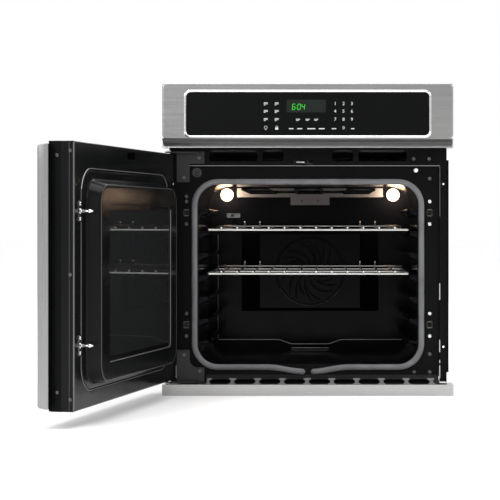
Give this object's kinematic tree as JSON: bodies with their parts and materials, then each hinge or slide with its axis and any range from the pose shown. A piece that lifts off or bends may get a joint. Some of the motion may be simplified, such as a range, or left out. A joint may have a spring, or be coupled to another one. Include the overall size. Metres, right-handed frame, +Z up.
{
  "type": "wall oven",
  "caption": "Built-in electric wall oven with a side-swing door, wire racks, convection fan, cavity lamps and a black glass control panel in a stainless front.",
  "frame": {"origin": "on the underside of the base pan, midway across, in the plane of the face frame that the door gasket sits on", "axes": "+X to the right seen from the front, +Y into the cabinet, +Z up"},
  "size_m": [0.8836, 1.2611, 0.736],
  "materials": {
    "base_pan": "plain galvanised sheet",
    "left_side_panel": "plain galvanised sheet",
    "right_side_panel": "plain galvanised sheet",
    "top_cover": "plain galvanised sheet",
    "rear_cover": "plain galvanised sheet",
    "conduit_connector": "plain galvanised sheet",
    "mounting_rails": "satin black enamel",
    "face_frame": "satin black enamel",
    "bottom_trim": "fine brushed stainless steel",
    "bottom_vent_strip": "dark grey sheet",
    "cavity_wrap": "glossy black-blue porcelain enamel with fine speckle",
    "cavity_back": "glossy black-blue porcelain enamel with fine speckle",
    "floor_panel": "glossy black-blue porcelain enamel with fine speckle",
    "cavity_insulation": "pressed mineral wool",
    "rear_insulation": "pressed mineral wool",
    "bake_element": "dark oxidised heating tube",
    "broil_element": "dark oxidised heating tube",
    "broil_bracket": "dull grey sheet",
    "fan_shroud": "glossy black-blue porcelain enamel with fine speckle",
    "convection_element": "dark oxidised heating tube",
    "convection_fan": "plain aluminium",
    "convection_motor": "grey motor casing",
    "lamp_lenses": "ribbed clear lamp glass",
    "lamp_bulbs": "warm halogen bulb",
    "lamp_housings": "white ceramic",
    "temperature_probe": "bright chrome",
    "upper_rack": "bright chrome",
    "lower_rack": "bright chrome",
    "door_gasket": "grey braided glass fibre",
    "air_ducts": "plain galvanised sheet",
    "blower_housing": "plain galvanised sheet",
    "blower_wheel": "plain aluminium",
    "blower_motor": "dark motor casing",
    "control_panel": "fine brushed stainless steel",
    "control_glass": "gloss black printed glass",
    "display_module": "dark display window",
    "control_board": "green circuit board",
    "control_housing": "black moulded plastic",
    "lock_housing": "plain galvanised sheet",
    "lock_hook": "bright chrome",
    "door_switch": "black moulded plastic",
    "switch_plunger": "white moulded plastic",
    "switch_blank": "dark moulded plastic",
    "upper_hinge_bracket": "satin black enamel",
    "lower_hinge_bracket": "satin black enamel",
    "hinge_pins": "bright chrome",
    "catch_clips": "bright chrome",
    "frame_screws": "bright chrome",
    "door_skin": "fine brushed stainless steel",
    "door_outer_glass": "dark tinted glass",
    "door_frame": "satin black enamel",
    "door_liner": "satin black enamel",
    "door_middle_glass": "clear heat glass",
    "door_inner_glass": "lightly tinted heat glass",
    "door_insulation": "pressed mineral wool",
    "handle_bar": "fine brushed stainless steel",
    "handle_posts": "fine brushed stainless steel",
    "door_hinge_plates": "satin black enamel",
    "strike_pins": "bright chrome",
    "door_screws": "bright chrome"
  },
  "bodies": {
    "oven": {"base_pan": "base_pan", "left_side_panel": "left_side_panel", "right_side_panel": "right_side_panel", "top_cover": "top_cover", "rear_cover": "rear_cover", "conduit_connector": "conduit_connector", "mounting_rails": "mounting_rails", "face_frame": "face_frame", "bottom_trim": "bottom_trim", "bottom_vent_strip": "bottom_vent_strip", "cavity_wrap": "cavity_wrap", "cavity_back": "cavity_back", "floor_panel": "floor_panel", "cavity_insulation": "cavity_insulation", "rear_insulation": "rear_insulation", "bake_element": "bake_element", "broil_element": "broil_element", "broil_bracket": "broil_bracket", "fan_shroud": "fan_shroud", "convection_element": "convection_element", "convection_motor": "convection_motor", "lamp_lenses": "lamp_lenses", "lamp_bulbs": "lamp_bulbs", "lamp_housings": "lamp_housings", "temperature_probe": "temperature_probe", "door_gasket": "door_gasket", "air_ducts": "air_ducts", "blower_housing": "blower_housing", "blower_motor": "blower_motor", "control_panel": "control_panel", "control_glass": "control_glass", "display_module": "display_module", "control_board": "control_board", "control_housing": "control_housing", "lock_housing": "lock_housing", "door_switch": "door_switch", "switch_blank": "switch_blank", "upper_hinge_bracket": "upper_hinge_bracket", "lower_hinge_bracket": "lower_hinge_bracket", "hinge_pins": "hinge_pins", "catch_clips": "catch_clips", "frame_screws": "frame_screws"},
    "door": {"door_skin": "door_skin", "door_outer_glass": "door_outer_glass", "door_frame": "door_frame", "door_liner": "door_liner", "door_middle_glass": "door_middle_glass", "door_inner_glass": "door_inner_glass", "door_insulation": "door_insulation", "handle_bar": "handle_bar", "handle_posts": "handle_posts", "door_hinge_plates": "door_hinge_plates", "strike_pins": "strike_pins", "door_screws": "door_screws"},
    "upper_rack": {"upper_rack": "upper_rack"},
    "lower_rack": {"lower_rack": "lower_rack"},
    "convection_fan": {"convection_fan": "convection_fan"},
    "blower_wheel": {"blower_wheel": "blower_wheel"},
    "switch_plunger": {"switch_plunger": "switch_plunger"},
    "lock_hook": {"lock_hook": "lock_hook"}
  },
  "joints": [
    {"name": "door_swing", "type": "hinge", "parent": "oven", "child": "door", "pos_m": [-0.3304, -0.0253, 0.3], "axis": [0, 0, -1], "range_deg": [-102, 0]},
    {"name": "upper_rack_slide", "type": "slide", "parent": "oven", "child": "upper_rack", "axis": [0, -1, 0], "range_m": [0, 0.36]},
    {"name": "lower_rack_slide", "type": "slide", "parent": "oven", "child": "lower_rack", "axis": [0, -1, 0], "range_m": [0, 0.36]},
    {"name": "convection_fan_spin", "type": "hinge", "parent": "oven", "child": "convection_fan", "pos_m": [0, 0.44, 0.278], "axis": [0, 1, 0], "continuous": true},
    {"name": "blower_spin", "type": "hinge", "parent": "oven", "child": "blower_wheel", "pos_m": [0, 0.485, 0.591], "axis": [1, 0, 0], "continuous": true},
    {"name": "switch_press", "type": "slide", "parent": "oven", "child": "switch_plunger", "axis": [0, -1, 0], "range_m": [-0.0063, 0]},
    {"name": "lock_swing", "type": "hinge", "parent": "oven", "child": "lock_hook", "pos_m": [-0.021, 0.07, 0.551], "axis": [0, 0, 1], "range_deg": [0, 10.5]}
  ],
  "couplings": [
    {"joint": "switch_press", "follows": "door_swing", "m_per_rad": 0.003539}
  ]
}
